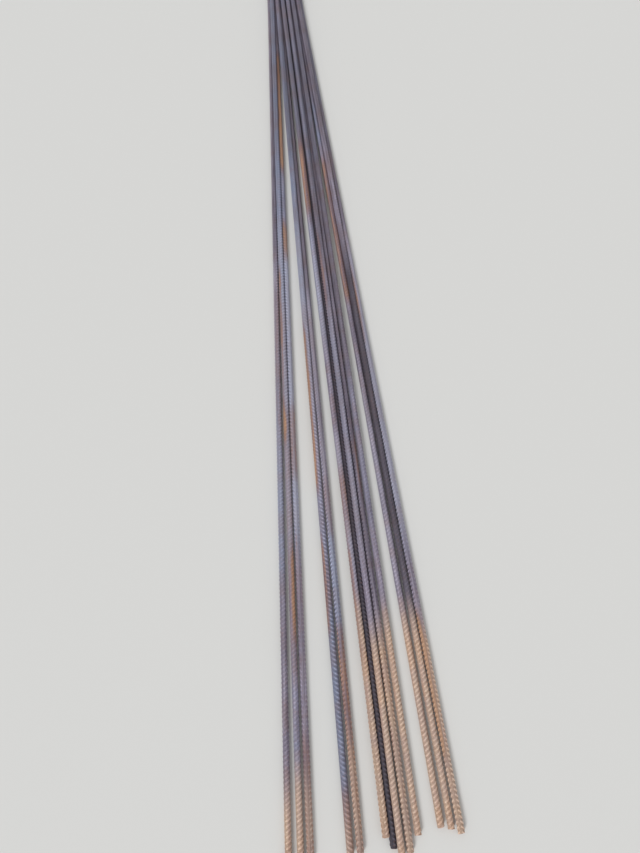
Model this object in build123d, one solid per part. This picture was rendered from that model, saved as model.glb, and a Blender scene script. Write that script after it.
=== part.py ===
import math
import os

from build123d import *

# Hot-rolled reinforcing bar of one size, cropped to stock length
bar_diameter = 12.0
stock_length = 3000.0

# The rolled ribs stand this share of the diameter proud of the plain round,
# so two bars that touch lie one pitch apart, axis to axis
rib_share = 0.03
pitch = bar_diameter * (1 + 2 * rib_share)

# The bars fan out over this length and run on side by side as a stack,
# and each turns from one course to the other on this radius
fan_length = 2150.0
bend_radius = 6000.0

# Wide openings between the four groups of bars at the open end of the fan
left_opening = 53.5
middle_opening = 31.5
right_opening = 27.0

# Steps from each bar's axis to the next, left to right across the open end.
# Under one pitch, the bar leans up on its lower neighbour.
open_steps = [
    1.56 * pitch,
    1.34 * pitch,
    pitch + left_opening,
    1.34 * pitch,
    pitch + middle_opening,
    0.91 * pitch,
    0.92 * pitch,
    1.17 * pitch,
    1.29 * pitch,
    pitch + right_opening,
    1.33 * pitch,
    1.26 * pitch,
]

# Steps between the bars on the ground in the stack. Every second bar lies on
# the ground, and the bar between two of them rests in their valley.
stack_steps = [
    1.06 * pitch,
    1.05 * pitch,
    1.10 * pitch,
    1.10 * pitch,
    1.04 * pitch,
    1.05 * pitch,
]

# How far each bar's near end stands out of the row of ends, left to right
near_reach = [12, 25, 9, 8, 8, -12, 6, 25, 14, -9, -17, -13, -5]

# The crop's blades take this much off each end of the blank and leave a face
# this far out of square. The bars have rolled, so each face leans its own way.
crop_waste = 2.0
crop_angle = 6.0
roll_step = 137.5


def centred(steps):
    """Places along a row of these steps, with the row's middle at zero."""
    places = [0.0]
    for step in steps:
        places.append(places[-1] + step)
    return [place - places[-1] / 2 for place in places]


def rest_height(x, ground_row):
    """Axis height at which a bar at x rests on the ground or on the bars of the ground row."""
    lift = max(pitch**2 - (x - other) ** 2 for other in ground_row)
    return bar_diameter / 2 + math.sqrt(max(lift, 0.0))


def cropped(blank, end, inward, blade_line):
    """The blank with one end cropped off a little out of square."""
    square = Plane(origin=end, x_dir=blade_line, z_dir=inward)
    slant_depth = bar_diameter / 2 * math.tan(math.radians(crop_angle))
    blade = square.offset(crop_waste + slant_depth).location * Rot(crop_angle, 0, 0)
    return split(blank, bisect_by=Plane(blade), keep=Keep.TOP).solid()


def laid_bar(near, gather, far, roll):
    """One bar: a straight run down the fan, one wide bend and a straight run in the stack."""
    near_blank = near + (near - gather).normalized() * crop_waste
    far_blank = far + (far - gather).normalized() * crop_waste
    course = FilletPolyline(near_blank, gather, far_blank, radius=[bend_radius])
    blade_line = Vector(1, 0, 0).rotate(Axis.Y, roll)
    section = Plane(origin=course @ 0, x_dir=blade_line, z_dir=course % 0) * Circle(bar_diameter / 2)
    blank = sweep(section, path=course)
    bar = cropped(blank, course @ 0, course % 0, blade_line)
    return cropped(bar, course @ 1, -(course % 1), blade_line)


open_row = centred(open_steps)
ground_open = open_row[0::2]
ground_stack = centred(stack_steps)

bars = {}
for index, open_x in enumerate(open_row):
    left = index // 2
    if index % 2 == 0:
        stack_x = ground_stack[left]
        open_z = stack_z = bar_diameter / 2
    else:
        stack_x = (ground_stack[left] + ground_stack[left + 1]) / 2
        open_z = rest_height(open_x, ground_open)
        stack_z = rest_height(stack_x, ground_stack)
    near = Vector(open_x, -near_reach[index], open_z)
    gather = Vector(stack_x, fan_length, stack_z)
    stack_run = stock_length - (gather - near).length
    far = gather + Vector(0, stack_run, 0)
    bars[f"bar_{index + 1:02d}"] = laid_bar(near, gather, far, index * roll_step)

# The origin is on the ground, under the middle of the whole bundle
whole = Compound(list(bars.values())).bounding_box()
to_origin = Location((-whole.center().X, -whole.center().Y, -whole.min.Z))

os.makedirs("parts", exist_ok=True)
for name, bar in bars.items():
    export_step(bar.moved(to_origin), f"parts/{name}.step")
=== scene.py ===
import math

import bmesh
import bpy
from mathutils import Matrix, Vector, geometry


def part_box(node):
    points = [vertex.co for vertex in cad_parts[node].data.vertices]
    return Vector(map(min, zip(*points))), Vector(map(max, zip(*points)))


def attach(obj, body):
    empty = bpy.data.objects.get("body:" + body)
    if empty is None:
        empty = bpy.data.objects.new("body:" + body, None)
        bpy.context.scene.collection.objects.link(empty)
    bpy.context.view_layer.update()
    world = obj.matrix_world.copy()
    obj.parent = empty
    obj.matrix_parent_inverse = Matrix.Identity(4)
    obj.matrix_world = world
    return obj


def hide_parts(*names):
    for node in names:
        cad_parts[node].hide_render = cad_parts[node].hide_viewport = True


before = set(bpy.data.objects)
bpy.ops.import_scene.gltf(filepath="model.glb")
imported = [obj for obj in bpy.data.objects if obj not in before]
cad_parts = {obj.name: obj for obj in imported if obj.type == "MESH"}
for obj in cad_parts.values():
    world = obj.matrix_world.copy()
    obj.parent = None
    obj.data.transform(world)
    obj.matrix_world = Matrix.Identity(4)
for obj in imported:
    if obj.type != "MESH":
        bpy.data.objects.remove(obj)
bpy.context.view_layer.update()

# Camera: a phone camera held at chest height over the open end of the fan, looking
# steeply down along the bars, so the near ends are large and the stack runs away
# from it to the top edge.
eye = Vector((-0.0724, -1.2765, 1.295))
heading = math.radians(5.30)
down_tilt = math.radians(67.0)
long_side_mm = 36.0
focal_px = 665.0
long_side_px = 853.0

camera_data = bpy.data.cameras.new("camera")
camera_data.sensor_width = long_side_mm
camera_data.lens = focal_px / long_side_px * long_side_mm
camera = bpy.data.objects.new("camera", camera_data)
bpy.context.scene.collection.objects.link(camera)
camera.location = eye
look = Vector((math.sin(heading) * math.cos(down_tilt),
               math.cos(heading) * math.cos(down_tilt),
               -math.sin(down_tilt)))
camera.rotation_euler = look.to_track_quat("-Z", "Y").to_euler()
bpy.context.scene.camera = camera

# Reinforcing bars: thirteen 12 mm bars of low-carbon steel. The last stand of the hot mill
# rolls two long ribs and two rows of slanting crescent ribs into each round bar, the
# cooling bed leaves it a little twisted, and a shear crops it to stock length.
rib_spacing = 0.008
rib_lean = math.radians(58)
core_radius = 0.00552
rib_height = 0.00086
rib_top_half = 0.00110
rib_foot_half = 0.00240
long_rib_height = 0.00060
long_rib_top = math.radians(6.0)
long_rib_foot = math.radians(13.0)
rib_end_width = 0.45
crescent_power = 0.8
columns = 24
rows_per_rib = 4
bend_steps = 24


def add(tree, kind, inputs=None, **settings):
    """A node with its settings, whose inputs are given values or linked from other nodes' sockets."""
    node = tree.nodes.new(kind)
    for name, value in settings.items():
        setattr(node, name, value)
    for key, value in (inputs or {}).items():
        if isinstance(value, bpy.types.NodeSocket):
            tree.links.new(value, node.inputs[key])
        else:
            node.inputs[key].default_value = value
    return node


def rolled_bar_tree():
    """A bar's blank: a skin of ribs laid along the filleted course that comes in as three points."""
    tree = bpy.data.node_groups.new("rolled_bar", "GeometryNodeTree")
    tree.interface.new_socket("Course", in_out="INPUT", socket_type="NodeSocketGeometry")
    for name in ("Bend radius", "Rib spacing", "First rib", "Core radius", "Rib height", "Rib top half",
                 "Rib foot half", "Rib rise", "Long rib height", "Roll", "Twist per metre"):
        tree.interface.new_socket(name, in_out="INPUT", socket_type="NodeSocketFloat")
    tree.interface.new_socket("Rib count", in_out="INPUT", socket_type="NodeSocketInt")
    tree.interface.new_socket("Finish", in_out="INPUT", socket_type="NodeSocketMaterial")
    tree.interface.new_socket("Blank", in_out="OUTPUT", socket_type="NodeSocketGeometry")
    given = tree.nodes.new("NodeGroupInput").outputs

    line = add(tree, "GeometryNodeMeshToCurve", {"Mesh": given["Course"]})
    bend = add(tree, "GeometryNodeFilletCurve", {
        "Curve": line.outputs[0], "Radius": given["Bend radius"], "Count": bend_steps},
        mode="POLY")
    course = add(tree, "GeometryNodeSetCurveNormal", {"Curve": bend.outputs[0]}, mode="Z_UP").outputs[0]

    rows = add(tree, "ShaderNodeMath", {
        0: given["Rib count"], 1: float(rows_per_rib)}, operation="MULTIPLY").outputs[0]
    last_row = add(tree, "ShaderNodeMath", {0: rows, 1: 1.0}, operation="SUBTRACT").outputs[0]
    skin = add(tree, "GeometryNodeMeshCylinder", {
        "Vertices": columns, "Side Segments": last_row, "Radius": 1.0, "Depth": 1.0},
        fill_type="NONE").outputs["Mesh"]

    # Which row along the bar and which column round it each point is
    position = add(tree, "GeometryNodeInputPosition").outputs[0]
    height = add(tree, "ShaderNodeSeparateXYZ", {0: position}).outputs["Z"]
    share = add(tree, "ShaderNodeMath", {0: height, 1: 0.5}, operation="ADD").outputs[0]
    row_near = add(tree, "ShaderNodeMath", {0: share, 1: last_row}, operation="MULTIPLY").outputs[0]
    row = add(tree, "ShaderNodeMath", {0: row_near}, operation="ROUND").outputs[0]
    row_in_rib = add(tree, "ShaderNodeMath", {
        0: row, 1: float(rows_per_rib)}, operation="FLOORED_MODULO").outputs[0]
    ribs_passed = add(tree, "ShaderNodeMath", {
        0: row, 1: float(rows_per_rib)}, operation="DIVIDE").outputs[0]
    rib = add(tree, "ShaderNodeMath", {0: ribs_passed}, operation="FLOOR").outputs[0]
    index = add(tree, "GeometryNodeInputIndex").outputs[0]
    column = add(tree, "ShaderNodeMath", {
        0: index, 1: float(columns)}, operation="FLOORED_MODULO").outputs[0]
    half_columns = columns // 2
    column_in_half = add(tree, "ShaderNodeMath", {
        0: column, 1: float(half_columns)}, operation="FLOORED_MODULO").outputs[0]
    second_half = add(tree, "ShaderNodeMath", {
        0: column, 1: half_columns - 0.5}, operation="GREATER_THAN").outputs[0]
    on_long_rib = add(tree, "ShaderNodeMath", {
        0: column_in_half, 1: 1.5}, operation="LESS_THAN").outputs[0]

    # Angle round the bar: two columns carry the long rib, the rest share out the side evenly
    top_angle = add(tree, "ShaderNodeMapRange", {
        0: column_in_half, 1: 0.0, 2: 1.0, 3: -long_rib_top, 4: long_rib_top}).outputs[0]
    across = add(tree, "ShaderNodeMapRange", {
        0: column_in_half, 1: 2.0, 2: half_columns - 1.0, 3: 0.0, 4: 1.0}).outputs[0]
    side_angle = add(tree, "ShaderNodeMapRange", {
        0: across, 3: long_rib_foot, 4: math.pi - long_rib_foot}).outputs[0]
    half_angle = add(tree, "ShaderNodeMix", {0: on_long_rib, 2: side_angle, 3: top_angle}).outputs[0]
    angle = add(tree, "ShaderNodeMath", {
        0: second_half, 1: math.pi, 2: half_angle}, operation="MULTIPLY_ADD").outputs[0]

    # Crescent: a rib is full in the middle of its side and runs out at both long ribs
    swing = add(tree, "ShaderNodeMath", {0: across, 1: math.pi}, operation="MULTIPLY").outputs[0]
    arch = add(tree, "ShaderNodeMath", {0: swing}, operation="SINE").outputs[0]
    arch_kept = add(tree, "ShaderNodeMath", {0: arch, 1: 0.0}, operation="MAXIMUM").outputs[0]
    crescent = add(tree, "ShaderNodeMath", {
        0: arch_kept, 1: crescent_power}, operation="POWER").outputs[0]
    rib_middle = (rows_per_rib - 1) / 2
    from_middle = add(tree, "ShaderNodeMath", {
        0: row_in_rib, 1: rib_middle}, operation="SUBTRACT").outputs[0]
    distance = add(tree, "ShaderNodeMath", {0: from_middle}, operation="ABSOLUTE").outputs[0]
    crest = add(tree, "ShaderNodeMapRange", {
        0: distance, 1: 0.5, 2: rib_middle, 3: 1.0, 4: 0.0}).outputs[0]
    crown = add(tree, "ShaderNodeMath", {0: crest, 1: crescent}, operation="MULTIPLY").outputs[0]
    half_width = add(tree, "ShaderNodeMapRange", {
        0: distance, 1: 0.5, 2: rib_middle,
        3: given["Rib top half"], 4: given["Rib foot half"]}).outputs[0]
    narrowing = add(tree, "ShaderNodeMapRange", {0: crescent, 3: rib_end_width, 4: 1.0}).outputs[0]
    tapered = add(tree, "ShaderNodeMath", {0: half_width, 1: narrowing}, operation="MULTIPLY").outputs[0]
    flank = add(tree, "ShaderNodeMath", {0: from_middle}, operation="SIGN").outputs[0]
    row_offset = add(tree, "ShaderNodeMath", {0: tapered, 1: flank}, operation="MULTIPLY").outputs[0]

    # Lean: the ribs slant one way on one side of the bar and the other way on the other
    climb_share = add(tree, "ShaderNodeMath", {0: across, 1: 0.5}, operation="SUBTRACT").outputs[0]
    rising = add(tree, "ShaderNodeMath", {
        0: climb_share, 1: given["Rib rise"]}, operation="MULTIPLY").outputs[0]
    slant = add(tree, "ShaderNodeMapRange", {0: second_half, 3: 1.0, 4: -1.0}).outputs[0]
    lean = add(tree, "ShaderNodeMath", {
        0: rising, 1: slant, 2: row_offset}, operation="MULTIPLY_ADD").outputs[0]
    rib_place = add(tree, "ShaderNodeMath", {
        0: rib, 1: given["Rib spacing"], 2: given["First rib"]}, operation="MULTIPLY_ADD").outputs[0]
    along = add(tree, "ShaderNodeMath", {0: rib_place, 1: lean}, operation="ADD").outputs[0]

    proud = add(tree, "ShaderNodeMath", {
        0: crown, 1: given["Rib height"]}, operation="MULTIPLY").outputs[0]
    long_proud = add(tree, "ShaderNodeMath", {
        0: on_long_rib, 1: given["Long rib height"]}, operation="MULTIPLY").outputs[0]
    higher = add(tree, "ShaderNodeMath", {0: proud, 1: long_proud}, operation="MAXIMUM").outputs[0]
    radius = add(tree, "ShaderNodeMath", {0: given["Core radius"], 1: higher}, operation="ADD").outputs[0]

    # The skin wraps the course, turned by the bar's roll and its slow twist
    turned = add(tree, "ShaderNodeMath", {
        0: along, 1: given["Twist per metre"], 2: given["Roll"]}, operation="MULTIPLY_ADD").outputs[0]
    bearing = add(tree, "ShaderNodeMath", {0: angle, 1: turned}, operation="ADD").outputs[0]
    cosine = add(tree, "ShaderNodeMath", {0: bearing}, operation="COSINE").outputs[0]
    sine = add(tree, "ShaderNodeMath", {0: bearing}, operation="SINE").outputs[0]
    sideways = add(tree, "ShaderNodeMath", {0: cosine, 1: radius}, operation="MULTIPLY").outputs[0]
    upwards = add(tree, "ShaderNodeMath", {0: sine, 1: radius}, operation="MULTIPLY").outputs[0]
    on_course = add(tree, "GeometryNodeSampleCurve", {
        "Curves": course, "Length": along}, mode="LENGTH").outputs
    square_on = add(tree, "ShaderNodeVectorMath", {
        0: on_course["Tangent"], 1: on_course["Normal"]}, operation="CROSS_PRODUCT").outputs[0]
    moved_side = add(tree, "ShaderNodeVectorMath", {
        0: on_course["Normal"], "Scale": sideways}, operation="SCALE").outputs[0]
    moved_up = add(tree, "ShaderNodeVectorMath", {
        0: square_on, "Scale": upwards}, operation="SCALE").outputs[0]
    spoke = add(tree, "ShaderNodeVectorMath", {0: moved_side, 1: moved_up}, operation="ADD").outputs[0]
    point = add(tree, "ShaderNodeVectorMath", {
        0: on_course["Position"], 1: spoke}, operation="ADD").outputs[0]

    # Kept for the finish: where the point was on the straight bar, and how high on a rib
    round_x = add(tree, "ShaderNodeMath", {0: angle}, operation="COSINE").outputs[0]
    round_y = add(tree, "ShaderNodeMath", {0: angle}, operation="SINE").outputs[0]
    flat_x = add(tree, "ShaderNodeMath", {
        0: round_x, 1: given["Core radius"]}, operation="MULTIPLY").outputs[0]
    flat_y = add(tree, "ShaderNodeMath", {
        0: round_y, 1: given["Core radius"]}, operation="MULTIPLY").outputs[0]
    as_rolled = add(tree, "ShaderNodeCombineXYZ", {0: flat_x, 1: flat_y, 2: along}).outputs[0]
    noted = add(tree, "GeometryNodeStoreNamedAttribute", {
        "Geometry": skin, "Name": "as_rolled", "Value": as_rolled},
        data_type="FLOAT_VECTOR", domain="POINT").outputs[0]
    crowned = add(tree, "GeometryNodeStoreNamedAttribute", {
        "Geometry": noted, "Name": "crown", "Value": crown},
        data_type="FLOAT", domain="POINT").outputs[0]
    laid = add(tree, "GeometryNodeSetPosition", {"Geometry": crowned, "Position": point}).outputs[0]
    smooth = add(tree, "GeometryNodeSetShadeSmooth", {0: laid}).outputs[0]
    real = add(tree, "GeometryNodeRealizeInstances", {0: smooth}).outputs[0]
    finished = add(tree, "GeometryNodeSetMaterial", {
        "Geometry": real, "Material": given["Finish"]}).outputs[0]
    add(tree, "NodeGroupOutput", {0: finished})
    return tree


def linear(hex_colour):
    """An sRGB hex colour as linear RGBA."""
    channels = [int(hex_colour[i:i + 2], 16) / 255 for i in (1, 3, 5)]
    return [c / 12.92 if c <= 0.04045 else ((c + 0.055) / 1.055) ** 2.4 for c in channels] + [1.0]


# Hot-rolled steel under mill scale: a dense purple-grey oxide skin, half dull, with blue-grey
# stretches where it is whole and pinkish brown to ochre rust where rain has got under it.
# Painted on it too: sunlight on the open ends, skylight along the middles, and shade, blued
# by the sky towards the far ends, where bars lie low or run far off.
# The grain of real scale is 0.2 mm: it is drawn coarser, at 0.9 mm, so that it shows.
streak_width = 0.0048
streak_length = 0.095
cloud_size = 0.045
fleck_size = 0.003
grain_size = 0.0009
flake_depth = 0.0004
pit_depth = 0.0002


def mill_scale():
    """The bars' finish, from where a point was on the straight bar, how its bar has weathered and the
    light and shade painted on it.
    """
    material = bpy.data.materials.new("weathered_mill_scale")
    material.use_nodes = True
    tree = material.node_tree
    tree.nodes.clear()
    rolled = add(tree, "ShaderNodeAttribute", attribute_name="as_rolled").outputs["Vector"]
    crown = add(tree, "ShaderNodeAttribute", attribute_name="crown").outputs["Fac"]
    rusting = add(tree, "ShaderNodeAttribute", attribute_name="rusting").outputs["Fac"]
    blue_scale_and_skylight = add(tree, "ShaderNodeAttribute", attribute_name="blue_scale_and_skylight").outputs["Fac"]
    painted_skylight = add(tree, "ShaderNodeAttribute", attribute_name="painted_skylight").outputs["Fac"]
    painted_shade = add(tree, "ShaderNodeAttribute", attribute_name="painted_shade").outputs["Fac"]
    dust_and_sunlight = add(tree, "ShaderNodeAttribute", attribute_name="dust_and_sunlight").outputs["Fac"]
    sheared = add(tree, "ShaderNodeAttribute", attribute_name="sheared").outputs["Fac"]
    placed = add(tree, "ShaderNodeTexCoord").outputs["Object"]

    # Rolling draws streaks out along the bar, clouds of weathering lie across all the bars,
    # and flecks and grain are lifted scale
    drawn_out = add(tree, "ShaderNodeMapping", {
        "Vector": rolled, "Scale": (1.0, 1.0, streak_width / streak_length)}).outputs[0]
    streak = add(tree, "ShaderNodeTexNoise", {
        "Vector": drawn_out, "Scale": 1 / streak_width, "Detail": 4.0, "Roughness": 0.6}).outputs["Fac"]
    cloud = add(tree, "ShaderNodeTexNoise", {
        "Vector": placed, "Scale": 1 / cloud_size, "Detail": 4.0, "Roughness": 0.6}).outputs["Fac"]
    fleck = add(tree, "ShaderNodeTexNoise", {
        "Vector": rolled, "Scale": 1 / fleck_size, "Detail": 3.0, "Roughness": 0.7}).outputs["Fac"]
    grain = add(tree, "ShaderNodeTexNoise", {
        "Vector": rolled, "Scale": 1 / grain_size, "Detail": 2.0, "Roughness": 0.6}).outputs["Fac"]

    scale_tone = add(tree, "ShaderNodeMapRange", {0: streak, 1: 0.34, 2: 0.66}).outputs[0]
    scale_colour = add(tree, "ShaderNodeMix", {
        0: scale_tone, 6: linear("#7a7182"), 7: linear("#b0a8bc")}, data_type="RGBA").outputs[2]
    brown_tone = add(tree, "ShaderNodeMapRange", {0: cloud, 1: 0.48, 2: 0.72, 3: 0.0, 4: 0.65}).outputs[0]
    browned = add(tree, "ShaderNodeMix", {
        0: brown_tone, 6: scale_colour, 7: linear("#977f80")}, data_type="RGBA").outputs[2]
    # Blue-grey where the scale is whole; the stretches that run to the far ends are painted shade, blued
    # by the sky
    blue_patch = add(tree, "ShaderNodeMapRange", {0: cloud, 1: 0.35, 2: 0.6, 3: 1.0, 4: 0.45}).outputs[0]
    blue_share = add(tree, "ShaderNodeMath", {0: blue_scale_and_skylight, 1: blue_patch}, operation="MULTIPLY").outputs[0]
    blued = add(tree, "ShaderNodeMix", {
        0: blue_share, 6: browned, 7: linear("#929eba")}, data_type="RGBA").outputs[2]
    # Painted skylight: the bars' middle stretches, most open to the sky, lighten towards a pale blue-grey
    skylight_lightened = add(tree, "ShaderNodeMix", {
        0: painted_skylight, 6: blued, 7: linear("#c3c4d6")}, data_type="RGBA").outputs[2]
    # Painted shade: bars and stretches that lie low or far off in shadow darken towards a dark
    # purple-grey
    shade_darkened = add(tree, "ShaderNodeMix", {
        0: painted_shade, 6: skylight_lightened, 7: linear("#3e3943")}, data_type="RGBA").outputs[2]

    # Rust: a pinkish brown stain that comes up in streaks, ochre where it is thickest. The
    # end faces have no scale, so they rust all over.
    rust_edge = add(tree, "ShaderNodeMath", {0: streak, 1: rusting}, operation="ADD").outputs[0]
    rust_field = add(tree, "ShaderNodeMath", {
        0: fleck, 1: 0.45, 2: rust_edge}, operation="MULTIPLY_ADD").outputs[0]
    rust_streaks = add(tree, "ShaderNodeMapRange", {0: rust_field, 1: 0.95, 2: 1.45, 4: 0.85}).outputs[0]
    rust_spots = add(tree, "ShaderNodeMapRange", {0: fleck, 1: 0.58, 2: 0.70, 4: 0.6}).outputs[0]
    rust_on_scale = add(tree, "ShaderNodeMath", {
        0: rust_streaks, 1: rust_spots}, operation="MAXIMUM").outputs[0]
    rust_on_face = add(tree, "ShaderNodeMath", {0: sheared, 1: 0.9}, operation="MULTIPLY").outputs[0]
    rust_share = add(tree, "ShaderNodeMath", {
        0: rust_on_scale, 1: rust_on_face}, operation="MAXIMUM").outputs[0]
    rust_tone = add(tree, "ShaderNodeMapRange", {0: rust_field, 1: 1.25, 2: 1.62}).outputs[0]
    rust_colour = add(tree, "ShaderNodeMix", {
        0: rust_tone, 6: linear("#966f64"), 7: linear("#c6976e")}, data_type="RGBA").outputs[2]
    rusted = add(tree, "ShaderNodeMix", {
        0: rust_share, 6: shade_darkened, 7: rust_colour}, data_type="RGBA").outputs[2]

    # Dry dust and painted sunlight on the open ends: beige, with painted highlight on the ribs' tops and
    # painted shade between them, and orange along the streaks where rust comes through it
    sunlit_dust_tone = add(tree, "ShaderNodeMapRange", {0: fleck, 1: 0.3, 2: 0.65}).outputs[0]
    sunlit_dust_in_hollows = add(tree, "ShaderNodeMix", {
        0: sunlit_dust_tone, 6: linear("#b3937e"), 7: linear("#e6cab2")}, data_type="RGBA").outputs[2]
    on_rib = add(tree, "ShaderNodeMapRange", {0: crown, 2: 0.4, 4: 0.45}).outputs[0]
    sunlit_dust_on_ribs = add(tree, "ShaderNodeMix", {
        0: on_rib, 6: sunlit_dust_in_hollows, 7: linear("#f2dcc8")}, data_type="RGBA").outputs[2]
    stained = add(tree, "ShaderNodeMapRange", {0: streak, 1: 0.46, 2: 0.64, 4: 0.5}).outputs[0]
    sunlit_dust_colour = add(tree, "ShaderNodeMix", {
        0: stained, 6: sunlit_dust_on_ribs, 7: linear("#c89c80")}, data_type="RGBA").outputs[2]
    sunlit_dust_patch = add(tree, "ShaderNodeMapRange", {0: cloud, 1: 0.3, 2: 0.6, 3: 0.7, 4: 1.0}).outputs[0]
    sunlit_dust_held = add(tree, "ShaderNodeMath", {0: dust_and_sunlight, 1: sunlit_dust_patch}, operation="MULTIPLY").outputs[0]
    off_rust = add(tree, "ShaderNodeMapRange", {0: rust_share, 3: 1.0, 4: 0.35}).outputs[0]
    sunlit_dust_share = add(tree, "ShaderNodeMath", {0: sunlit_dust_held, 1: off_rust}, operation="MULTIPLY").outputs[0]
    sunlit_dusted = add(tree, "ShaderNodeMix", {
        0: sunlit_dust_share, 6: rusted, 7: sunlit_dust_colour}, data_type="RGBA").outputs[2]

    # The ribs' tops are paler than the hollows between them, rubbed wear with painted highlight on the
    # tops and painted shade in the hollows; the grain speckles both
    rib_wear_and_shade = add(tree, "ShaderNodeMapRange", {0: crown, 2: 0.35, 3: 0.84, 4: 1.06}).outputs[0]
    speckled = add(tree, "ShaderNodeMapRange", {0: grain, 1: 0.3, 2: 0.7, 3: 0.74, 4: 1.18}).outputs[0]
    shade = add(tree, "ShaderNodeMath", {0: rib_wear_and_shade, 1: speckled}, operation="MULTIPLY").outputs[0]
    colour = add(tree, "ShaderNodeVectorMath", {0: sunlit_dusted, "Scale": shade}, operation="SCALE").outputs[0]

    # Whole scale has a low sheen, and rust and dust are dull
    rust_rough = add(tree, "ShaderNodeMapRange", {0: rust_share, 3: 0.52, 4: 0.85}).outputs[0]
    rough = add(tree, "ShaderNodeMath", {
        0: sunlit_dust_share, 1: 0.3, 2: rust_rough}, operation="MULTIPLY_ADD", use_clamp=True).outputs[0]
    flakes = add(tree, "ShaderNodeBump", {
        "Height": fleck, "Distance": flake_depth, "Strength": 0.5}).outputs[0]
    pits = add(tree, "ShaderNodeBump", {
        "Height": grain, "Distance": pit_depth, "Strength": 0.5, "Normal": flakes}).outputs[0]
    shader = add(tree, "ShaderNodeBsdfPrincipled", {
        "Base Color": colour, "Roughness": rough, "Normal": pits, "Metallic": 0.25})
    add(tree, "ShaderNodeOutputMaterial", {"Surface": shader.outputs[0]})
    return material


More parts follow.
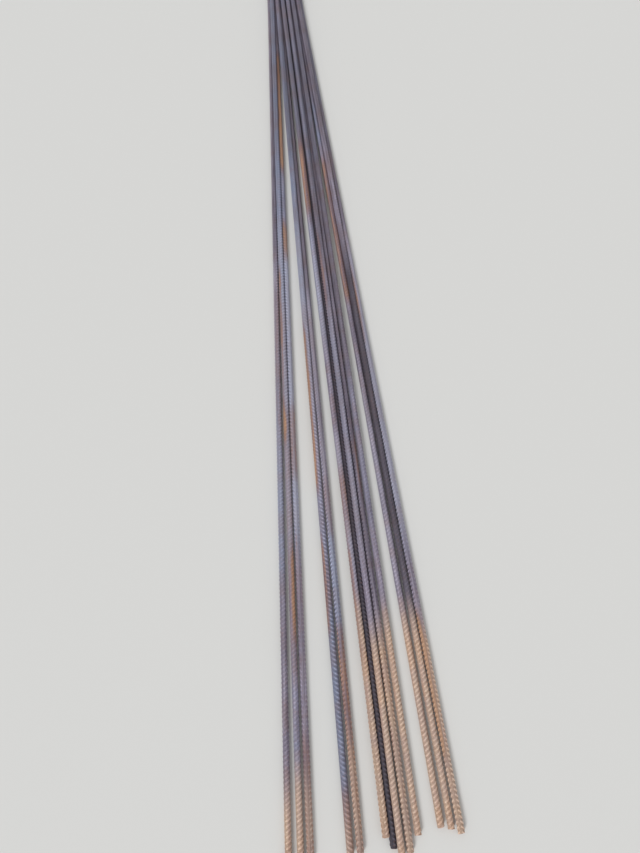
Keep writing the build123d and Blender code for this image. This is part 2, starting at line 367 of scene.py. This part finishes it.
# How each bar lies and has weathered, and the light and shade painted on it, left to right: its
# roll in degrees, its twist in degrees a metre, how far up its dust and painted sunlight reach,
# and its stretches (from, to, strength) of rust, of blue scale or painted skylit blue, of painted
# skylight and of painted shade, all in metres
# from the open end. A stretch of rust also has a flank: -1 the left, 1 the right, 0 all round.
far_end = 3.00
lay = {
    "bar_01": {
        "roll": 212, "twist": 30, "sunlit_dust_reach": 0.05,
        "rust": [(0.00, 0.14, 0.30, 0), (0.80, 1.10, 0.40, 0)],
        "blue": [(0.48, 0.82, 0.80)],
        "pale": [(0.60, 1.10, 0.25)],
        "shaded": [(0.20, 0.36, 0.15), (1.32, far_end, 0.36)]},
    "bar_02": {
        "roll": 206, "twist": 24, "sunlit_dust_reach": 0.09,
        "rust": [(0.33, 0.80, 0.38, 0), (0.41, 0.49, 0.42, 1), (0.80, 0.98, 0.50, -1),
                 (1.05, 1.16, 0.60, -1)],
        "blue": [(0.15, 0.30, 0.40), (1.14, 2.30, 0.80)],
        "pale": [(0.58, 1.25, 0.40)],
        "shaded": [(1.65, far_end, 0.30)]},
    "bar_03": {
        "roll": 262, "twist": 35, "sunlit_dust_reach": 0.06,
        "rust": [(0.00, 0.16, 0.52, 0), (0.40, 0.54, 0.30, 0), (0.69, 0.80, 0.55, 0),
                 (1.24, 1.28, 0.70, 0), (1.50, 1.86, 0.70, 0)],
        "blue": [(0.54, 0.66, 0.80), (0.82, 1.20, 0.80), (1.28, 1.48, 0.60)],
        "pale": [(0.60, 1.20, 0.60)],
        "shaded": [(1.70, far_end, 0.20)]},
    "bar_04": {
        "roll": 345, "twist": 60, "sunlit_dust_reach": 0.00,
        "rust": [(0.00, 0.06, 0.50, 0), (0.38, 0.50, 0.60, -1), (0.66, 0.98, 0.75, -1)],
        "blue": [(0.14, 0.36, 0.90), (0.52, 0.60, 0.50), (1.10, 2.00, 0.70)],
        "pale": [(0.74, 1.22, 0.35)],
        "shaded": [(0.00, 0.38, 0.22), (1.60, far_end, 0.32)]},
    "bar_05": {
        "roll": 95, "twist": 20, "sunlit_dust_reach": 0.12,
        "rust": [(0.00, 0.33, 0.60, 0), (0.56, 0.63, 0.40, 0), (0.80, 0.95, 0.30, 0)],
        "blue": [(0.35, 0.52, 0.90)],
        "pale": [(0.50, 1.05, 0.25)],
        "shaded": [(1.20, far_end, 0.38)]},
    "bar_06": {
        "roll": 244, "twist": -55, "sunlit_dust_reach": 0.33,
        "rust": [(0.30, 0.46, 0.60, -1), (0.56, 0.62, 0.55, 0), (1.34, 1.50, 0.62, 0)],
        "blue": [(1.00, 1.24, 0.50), (1.62, far_end, 0.45)],
        "pale": [(0.50, 0.64, 0.35), (1.00, 1.12, 0.30)],
        "shaded": [(1.60, far_end, 0.44)]},
    # bar_07 lies low between bar_06 and bar_08: its darkness all along is painted shade
    "bar_07": {
        "roll": 60, "twist": -12, "sunlit_dust_reach": -0.20,
        "rust": [],
        "blue": [],
        "pale": [],
        "shaded": [(0.00, far_end, 0.90)]},
    "bar_08": {
        "roll": 198, "twist": 50, "sunlit_dust_reach": 0.31,
        "rust": [(1.10, 1.25, 0.50, -1)],
        "blue": [(0.60, 1.00, 0.30), (1.40, far_end, 0.50)],
        "pale": [(0.60, 1.00, 0.20)],
        "shaded": [(1.30, far_end, 0.34)]},
    "bar_09": {
        "roll": 88, "twist": 30, "sunlit_dust_reach": 0.31,
        "rust": [(0.00, 0.18, 0.35, 0), (0.64, 0.72, 0.50, 1)],
        "blue": [],
        "pale": [],
        "shaded": [(0.50, far_end, 0.30), (1.60, far_end, 0.10)]},
    "bar_10": {
        "roll": 208, "twist": 26, "sunlit_dust_reach": 0.31,
        "rust": [],
        "blue": [(0.56, 0.84, 0.30), (1.50, far_end, 0.40)],
        "pale": [],
        "shaded": [(1.00, far_end, 0.42)]},
    "bar_11": {
        "roll": 190, "twist": -20, "sunlit_dust_reach": 0.30,
        "rust": [(1.08, 1.44, 0.55, 0)],
        "blue": [(1.56, 1.64, 0.90)],
        "pale": [(0.50, 0.75, 0.20)],
        "shaded": [(0.90, 1.20, 0.15), (1.72, far_end, 0.30)]},
    # bar_12 lies low between bar_11 and bar_13: its dark middle stretch is painted shade
    "bar_12": {
        "roll": 204, "twist": 32, "sunlit_dust_reach": 0.30,
        "rust": [],
        "blue": [],
        "pale": [],
        "shaded": [(0.45, 1.10, 0.72), (1.65, far_end, 0.40)]},
    "bar_13": {
        "roll": 70, "twist": 40, "sunlit_dust_reach": 0.29,
        "rust": [(0.15, 0.32, 1.05, -1), (0.98, 1.12, 0.60, -1), (1.20, 1.45, 0.35, -1)],
        "blue": [(0.52, 1.00, 0.35), (1.60, far_end, 0.35)],
        "pale": [(0.60, 1.15, 0.40)],
        "shaded": [(1.40, far_end, 0.40)]},
}
rust_fade = 0.08
skylight_fade = 0.15
shade_fade = 0.20
sunlit_dust_fade = 0.10
flank_reach = 1.2
ring_gap = 0.02


def stretch(place, start, end, fade):
    """1 between start and end, easing to 0 over the fade beyond them."""
    rise = min(max((place - start + fade) / fade, 0.0), 1.0)
    fall = min(max((end + fade - place) / fade, 0.0), 1.0)
    return rise * rise * (3 - 2 * rise) * fall * fall * (3 - 2 * fall)


def on_flank(flank, rightward):
    """How much of a stain on one flank, or all round, reaches a point that faces this much right."""
    return min(max(0.5 + flank_reach * flank * rightward, 0.0), 1.0) if flank else 1.0


def rings_of(node):
    """The rings of points round a bar's CAD body, from its open end to its far end."""
    points = sorted({tuple(round(c, 6) for c in v.co) for v in node.data.vertices}, key=lambda p: p[1])
    rings = [[Vector(points[0])]]
    for before, point in zip(points, points[1:]):
        if point[1] - before[1] > ring_gap:
            rings.append([])
        rings[-1].append(Vector(point))
    return rings


def end_face(ring, outward):
    """The middle and outward normal of a cropped end, from its ring of points."""
    middle = sum(ring, Vector()) / len(ring)
    around = sorted(ring, key=lambda p: math.atan2(p.z - middle.z, p.x - middle.x))
    normal = geometry.normal(around)
    return middle, normal if normal.dot(outward) > 0 else -normal


rib_rise = (math.pi - 2 * long_rib_foot) * core_radius / math.tan(rib_lean)
first_rib_least = 0.008
first_rib_step = 0.0031
blank_overrun = 0.030
rim_width = 0.0005
rim_share = 0.92
cut_tolerance = 1e-7
sharp_edge = math.radians(30)
rolling_tree = rolled_bar_tree()
finish = mill_scale()
sockets = {item.name: item.identifier
           for item in rolling_tree.interface.items_tree if item.in_out == "INPUT"}

for number, (name, own) in enumerate(lay.items()):
    # The course: straight runs from each end that meet where the bar is bent
    rings = rings_of(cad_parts[name])
    near, bend_start, bend_end, far = (sum(rings[i], Vector()) / len(rings[i]) for i in (0, 1, -2, -1))
    inward, onward = (bend_start - near).normalized(), (far - bend_end).normalized()
    near_side, far_side = geometry.intersect_line_line(near, bend_start, far, bend_end)
    gather = (near_side + far_side) / 2
    bend_radius = (bend_start - gather).length / math.tan(inward.angle(onward) / 2)
    course = [near - inward * blank_overrun, gather, far + onward * blank_overrun]
    length = (gather - course[0]).length + (course[2] - gather).length
    first_rib = first_rib_least + (number * first_rib_step) % rib_spacing

    course_mesh = bpy.data.meshes.new(name + "_course")
    course_mesh.from_pydata(course, [(0, 1), (1, 2)], [])
    blank = bpy.data.objects.new(name + "_course", course_mesh)
    bpy.context.scene.collection.objects.link(blank)
    rolling = blank.modifiers.new("rolling", "NODES")
    rolling.node_group = rolling_tree
    for label, value in {
        "Bend radius": bend_radius,
        "Rib spacing": rib_spacing,
        "First rib": first_rib,
        "Core radius": core_radius,
        "Rib height": rib_height,
        "Rib top half": rib_top_half,
        "Rib foot half": rib_foot_half,
        "Rib rise": rib_rise,
        "Long rib height": long_rib_height,
        "Roll": math.radians(own["roll"]),
        "Twist per metre": math.radians(own["twist"]),
        "Rib count": int((length - first_rib_least - first_rib) / rib_spacing),
        "Finish": finish,
    }.items():
        rolling[sockets[label]] = value
    shape = bpy.data.meshes.new_from_object(blank.evaluated_get(bpy.context.evaluated_depsgraph_get()))
    bpy.data.objects.remove(blank)

    # The shear crops both ends of the blank on the end faces of the frame's bar, and leaves a rim
    bar = bmesh.new()
    bar.from_mesh(shape)
    sheared = bar.verts.layers.float.new("sheared")
    for ring, outward in ((rings[0], -inward), (rings[-1], onward)):
        middle, normal = end_face(ring, outward)
        bmesh.ops.bisect_plane(
            bar, geom=bar.verts[:] + bar.edges[:] + bar.faces[:], dist=cut_tolerance,
            plane_co=middle - normal * rim_width, plane_no=normal)
        cut = bmesh.ops.bisect_plane(
            bar, geom=bar.verts[:] + bar.edges[:] + bar.faces[:], dist=cut_tolerance,
            plane_co=middle, plane_no=normal, clear_outer=True)["geom_cut"]
        for corner in (item for item in cut if isinstance(item, bmesh.types.BMVert)):
            corner.co = middle + (corner.co - middle) * rim_share
            corner[sheared] = 1.0
        rim = [item for item in cut if isinstance(item, bmesh.types.BMEdge)]
        bmesh.ops.holes_fill(bar, edges=rim, sides=0)
    bmesh.ops.recalc_face_normals(bar, faces=bar.faces[:])
    bar.to_mesh(shape)
    bar.free()

    # Blue scale and painted skylit blue, painted skylight, painted shade, and dust with painted sunlight,
    # each eased in and out along the bar
    stains = {
        "blue_scale_and_skylight": (own["blue"], rust_fade),
        "painted_skylight": (own["pale"], skylight_fade),
        "painted_shade": (own["shaded"], shade_fade),
        "dust_and_sunlight": ([(-blank_overrun, own["sunlit_dust_reach"], 1.0)], sunlit_dust_fade),
    }
    weather = {label: [] for label in ("rusting", *stains)}
    for item in shape.attributes["as_rolled"].data:
        x, y, along = item.vector
        place = along - blank_overrun
        rightward = math.cos(math.atan2(y, x) + math.radians(own["roll"] + own["twist"] * along))
        weather["rusting"].append(sum(
            much * stretch(place, start, end, rust_fade) * on_flank(flank, rightward)
            for start, end, much, flank in own["rust"]))
        for label, (stretches, fade) in stains.items():
            weather[label].append(sum(much * stretch(place, *ends, fade) for *ends, much in stretches))
    for label, values in weather.items():
        shape.attributes.new(label, "FLOAT", "POINT").data.foreach_set("value", values)

    shape.name = name + "_ribbed"
    shape.set_sharp_from_angle(angle=sharp_edge)
    piece = bpy.data.objects.new(name + "_ribbed", shape)
    bpy.context.scene.collection.objects.link(piece)
    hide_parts(name)
    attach(piece, "root")

# Floor and light: a plain pale studio floor under the ribs' lowest point, an even white
# surround and one soft lamp, high on the left and behind the camera.
plain_radius = 0.006
surround_strength = 0.55
lamp_strength = 2.1
lamp_spread = math.radians(20)
lamp_turn = (math.radians(45), math.radians(-35), 0)
floor_height = min(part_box(name)[0].z for name in lay) - (core_radius + rib_height - plain_radius)
floor_half = 30.0
floor_mesh = bpy.data.meshes.new("floor")
floor_mesh.from_pydata([(x * floor_half, y * floor_half, floor_height)
                        for x, y in ((-1, -1), (1, -1), (1, 1), (-1, 1))], [], [(0, 1, 2, 3)])
floor = bpy.data.objects.new("floor", floor_mesh)
bpy.context.scene.collection.objects.link(floor)
paint = bpy.data.materials.new("matt_floor_paint")
paint.use_nodes = True
paint_shader = paint.node_tree.nodes["Principled BSDF"]
paint_shader.inputs["Base Color"].default_value = linear("#dcdcda")
paint_shader.inputs["Roughness"].default_value = 0.9
floor_mesh.materials.append(paint)

world = bpy.data.worlds.new("studio")
world.use_nodes = True
surround = world.node_tree.nodes["Background"]
surround.inputs["Color"].default_value = linear("#ffffff")
surround.inputs["Strength"].default_value = surround_strength
bpy.context.scene.world = world
lamp_data = bpy.data.lights.new("soft_lamp", "SUN")
lamp_data.energy = lamp_strength
lamp_data.angle = lamp_spread
lamp = bpy.data.objects.new("soft_lamp", lamp_data)
lamp.rotation_euler = lamp_turn
bpy.context.scene.collection.objects.link(lamp)

bpy.context.scene.view_settings.view_transform = "Standard"
